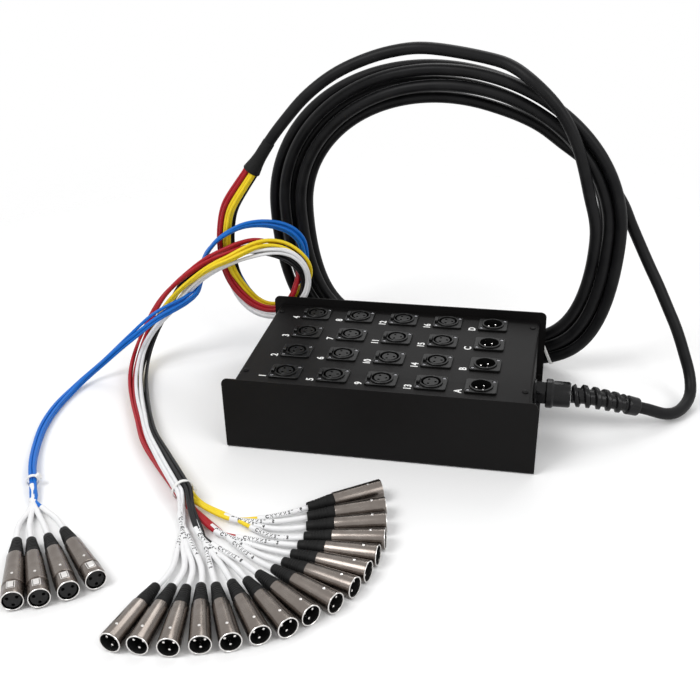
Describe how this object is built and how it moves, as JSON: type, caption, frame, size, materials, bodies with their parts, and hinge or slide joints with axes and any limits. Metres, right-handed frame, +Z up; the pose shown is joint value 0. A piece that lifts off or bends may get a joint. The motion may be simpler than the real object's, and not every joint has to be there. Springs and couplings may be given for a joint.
{
  "type": "stage box snake",
  "caption": "Stage box with female and male panel sockets, a multicore cable coiled behind it, and a fan-out of coloured tails that end in line plugs",
  "frame": {"origin": "middle of the underside of the box", "axes": "+X along the box towards the cable gland, +Y from the front wall to the rear wall, +Z up"},
  "size_m": [0.6719, 0.5496, 0.3617],
  "materials": {
    "box_paint": "black powder coat, fine grain, soft sheen",
    "tab_steel": "bright plated steel",
    "socket_plastic": "black moulded glass-filled nylon",
    "gland_plastic": "glossy black moulded nylon",
    "cable_jacket": "matt black flexible jacket with a slight sheen",
    "black_rubber": "black shrunk sleeve",
    "plug_metal": "dark nickel plated shell with a black rubber boot",
    "white_tail": "white cable jacket and sleeve",
    "black_tail": "black cable jacket with a white sleeve",
    "red_tail": "red cable jacket with a white sleeve",
    "yellow_tail": "yellow cable jacket with a white sleeve",
    "blue_tail": "blue cable jacket with a white sleeve",
    "tie_nylon": "white nylon tie"
  },
  "bodies": {
    "snake": {"base_pan": "box_paint", "top_cover": "box_paint", "receptacle_A": "socket_plastic", "receptacle_B": "socket_plastic", "receptacle_C": "socket_plastic", "receptacle_D": "socket_plastic", "gland_body": "gland_plastic", "gland_locknut": "gland_plastic", "strain_relief": "gland_plastic", "multicore_exit": "cable_jacket", "multicore_coil": "cable_jacket", "multicore_lead": "cable_jacket", "breakout_sleeve": "black_rubber", "male_plug_01": "plug_metal", "male_plug_02": "plug_metal", "male_plug_03": "plug_metal", "male_plug_04": "plug_metal", "male_plug_05": "plug_metal", "male_plug_06": "plug_metal", "male_plug_07": "plug_metal", "male_plug_08": "plug_metal", "male_plug_09": "plug_metal", "male_plug_10": "plug_metal", "male_plug_11": "plug_metal", "male_plug_12": "plug_metal", "male_plug_13": "plug_metal", "male_plug_14": "plug_metal", "male_plug_15": "plug_metal", "male_plug_16": "plug_metal", "female_plug_A": "plug_metal", "female_plug_B": "plug_metal", "female_plug_C": "plug_metal", "female_plug_D": "plug_metal", "tails_white": "white_tail", "tails_black": "black_tail", "tails_red": "red_tail", "tails_yellow": "yellow_tail", "tails_blue": "blue_tail", "tie_send": "tie_nylon", "tie_return": "tie_nylon"},
    "latch_tab_01_body": {"latch_tab_01": "tab_steel"},
    "latch_tab_02_body": {"latch_tab_02": "tab_steel"},
    "latch_tab_03_body": {"latch_tab_03": "tab_steel"},
    "latch_tab_04_body": {"latch_tab_04": "tab_steel"},
    "latch_tab_05_body": {"latch_tab_05": "tab_steel"},
    "latch_tab_06_body": {"latch_tab_06": "tab_steel"},
    "latch_tab_07_body": {"latch_tab_07": "tab_steel"},
    "latch_tab_08_body": {"latch_tab_08": "tab_steel"},
    "latch_tab_09_body": {"latch_tab_09": "tab_steel"},
    "latch_tab_10_body": {"latch_tab_10": "tab_steel"},
    "latch_tab_11_body": {"latch_tab_11": "tab_steel"},
    "latch_tab_12_body": {"latch_tab_12": "tab_steel"},
    "latch_tab_13_body": {"latch_tab_13": "tab_steel"},
    "latch_tab_14_body": {"latch_tab_14": "tab_steel"},
    "latch_tab_15_body": {"latch_tab_15": "tab_steel"},
    "latch_tab_16_body": {"latch_tab_16": "tab_steel"},
    "plug_latch_A_body": {"plug_latch_A": "tab_steel"},
    "plug_latch_B_body": {"plug_latch_B": "tab_steel"},
    "plug_latch_C_body": {"plug_latch_C": "tab_steel"},
    "plug_latch_D_body": {"plug_latch_D": "tab_steel"}
  },
  "joints": [
    {"name": "latch_tab_01_press", "type": "slide", "parent": "snake", "child": "latch_tab_01_body", "axis": [0, 0, -1], "range_m": [0, 0.0015], "stiffness_N_per_m": 400, "springref_m": -0.001},
    {"name": "latch_tab_02_press", "type": "slide", "parent": "snake", "child": "latch_tab_02_body", "axis": [0, 0, -1], "range_m": [0, 0.0015], "stiffness_N_per_m": 400, "springref_m": -0.001},
    {"name": "latch_tab_03_press", "type": "slide", "parent": "snake", "child": "latch_tab_03_body", "axis": [0, 0, -1], "range_m": [0, 0.0015], "stiffness_N_per_m": 400, "springref_m": -0.001},
    {"name": "latch_tab_04_press", "type": "slide", "parent": "snake", "child": "latch_tab_04_body", "axis": [0, 0, -1], "range_m": [0, 0.0015], "stiffness_N_per_m": 400, "springref_m": -0.001},
    {"name": "latch_tab_05_press", "type": "slide", "parent": "snake", "child": "latch_tab_05_body", "axis": [0, 0, -1], "range_m": [0, 0.0015], "stiffness_N_per_m": 400, "springref_m": -0.001},
    {"name": "latch_tab_06_press", "type": "slide", "parent": "snake", "child": "latch_tab_06_body", "axis": [0, 0, -1], "range_m": [0, 0.0015], "stiffness_N_per_m": 400, "springref_m": -0.001},
    {"name": "latch_tab_07_press", "type": "slide", "parent": "snake", "child": "latch_tab_07_body", "axis": [0, 0, -1], "range_m": [0, 0.0015], "stiffness_N_per_m": 400, "springref_m": -0.001},
    {"name": "latch_tab_08_press", "type": "slide", "parent": "snake", "child": "latch_tab_08_body", "axis": [0, 0, -1], "range_m": [0, 0.0015], "stiffness_N_per_m": 400, "springref_m": -0.001},
    {"name": "latch_tab_09_press", "type": "slide", "parent": "snake", "child": "latch_tab_09_body", "axis": [0, 0, -1], "range_m": [0, 0.0015], "stiffness_N_per_m": 400, "springref_m": -0.001},
    {"name": "latch_tab_10_press", "type": "slide", "parent": "snake", "child": "latch_tab_10_body", "axis": [0, 0, -1], "range_m": [0, 0.0015], "stiffness_N_per_m": 400, "springref_m": -0.001},
    {"name": "latch_tab_11_press", "type": "slide", "parent": "snake", "child": "latch_tab_11_body", "axis": [0, 0, -1], "range_m": [0, 0.0015], "stiffness_N_per_m": 400, "springref_m": -0.001},
    {"name": "latch_tab_12_press", "type": "slide", "parent": "snake", "child": "latch_tab_12_body", "axis": [0, 0, -1], "range_m": [0, 0.0015], "stiffness_N_per_m": 400, "springref_m": -0.001},
    {"name": "latch_tab_13_press", "type": "slide", "parent": "snake", "child": "latch_tab_13_body", "axis": [0, 0, -1], "range_m": [0, 0.0015], "stiffness_N_per_m": 400, "springref_m": -0.001},
    {"name": "latch_tab_14_press", "type": "slide", "parent": "snake", "child": "latch_tab_14_body", "axis": [0, 0, -1], "range_m": [0, 0.0015], "stiffness_N_per_m": 400, "springref_m": -0.001},
    {"name": "latch_tab_15_press", "type": "slide", "parent": "snake", "child": "latch_tab_15_body", "axis": [0, 0, -1], "range_m": [0, 0.0015], "stiffness_N_per_m": 400, "springref_m": -0.001},
    {"name": "latch_tab_16_press", "type": "slide", "parent": "snake", "child": "latch_tab_16_body", "axis": [0, 0, -1], "range_m": [0, 0.0015], "stiffness_N_per_m": 400, "springref_m": -0.001},
    {"name": "plug_latch_A_press", "type": "slide", "parent": "snake", "child": "plug_latch_A_body", "axis": [0.0185, -0.0379, -0.9991], "range_m": [0, 0.001], "stiffness_N_per_m": 400, "springref_m": -0.001},
    {"name": "plug_latch_B_press", "type": "slide", "parent": "snake", "child": "plug_latch_B_body", "axis": [0.0224, -0.0358, -0.9991], "range_m": [0, 0.001], "stiffness_N_per_m": 400, "springref_m": -0.001},
    {"name": "plug_latch_C_press", "type": "slide", "parent": "snake", "child": "plug_latch_C_body", "axis": [0.026, -0.0332, -0.9991], "range_m": [0, 0.001], "stiffness_N_per_m": 400, "springref_m": -0.001},
    {"name": "plug_latch_D_press", "type": "slide", "parent": "snake", "child": "plug_latch_D_body", "axis": [0.0293, -0.0303, -0.9991], "range_m": [0, 0.001], "stiffness_N_per_m": 400, "springref_m": -0.001}
  ]
}
